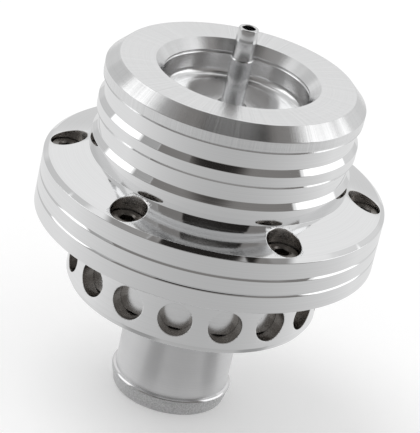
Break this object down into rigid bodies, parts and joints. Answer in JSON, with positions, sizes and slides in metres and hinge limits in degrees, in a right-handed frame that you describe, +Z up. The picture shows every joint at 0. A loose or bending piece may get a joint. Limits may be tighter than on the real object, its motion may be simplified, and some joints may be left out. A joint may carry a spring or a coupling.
{
  "type": "blow off valve",
  "caption": "Round finned metal valve with a bolted flange, a band of round vents, a hose spigot below and a hose nipple standing in a dish on top.",
  "frame": {"origin": "centre of the hose spigot's end face, on which the valve stands", "axes": "+Z up along the valve's axis, towards the hose nipple; +X towards one of the flange screws"},
  "size_m": [0.075, 0.075, 0.0882],
  "materials": {
    "polished_body": "polished billet",
    "satin_spigot": "satin turned",
    "screw_steel": "plated steel",
    "piston": "fine turned",
    "spring_steel": "spring steel",
    "seal_rubber": "nitrile rubber",
    "seal_plastic": "filled fluoropolymer"
  },
  "bodies": {
    "housing": {"lower_body": "polished_body", "upper_body": "polished_body", "cap_ring": "polished_body", "vacuum_cap": "polished_body", "vacuum_nipple": "polished_body", "hose_spigot": "satin_spigot", "flange_screw_1": "screw_steel", "flange_screw_2": "screw_steel", "flange_screw_3": "screw_steel", "flange_screw_4": "screw_steel", "flange_screw_5": "screw_steel", "flange_screw_6": "screw_steel", "cap_o_ring": "seal_rubber", "nipple_o_ring": "seal_rubber", "spigot_o_ring": "seal_rubber", "main_spring": "spring_steel"},
    "main_slider": {"main_piston": "piston", "valve_face_seal": "seal_plastic", "piston_guide_ring": "seal_plastic", "piston_seal_lower": "seal_rubber", "piston_seal_upper": "seal_rubber", "spring_retainer": "piston", "retaining_clip": "spring_steel", "pilot_spring": "spring_steel"},
    "pilot_slider": {"pilot_piston": "piston", "pilot_seal": "seal_rubber"}
  },
  "joints": [
    {"name": "main_lift", "type": "slide", "parent": "housing", "child": "main_slider", "axis": [0, 0, 1], "range_m": [0, 0.009], "stiffness_N_per_m": 1500, "springref_m": -0.01, "deforming": ["main_spring"]},
    {"name": "pilot_lift", "type": "slide", "parent": "main_slider", "child": "pilot_slider", "axis": [0, 0, 1], "range_m": [0, 0.004], "stiffness_N_per_m": 500, "springref_m": -0.006, "deforming": ["pilot_spring"]}
  ]
}
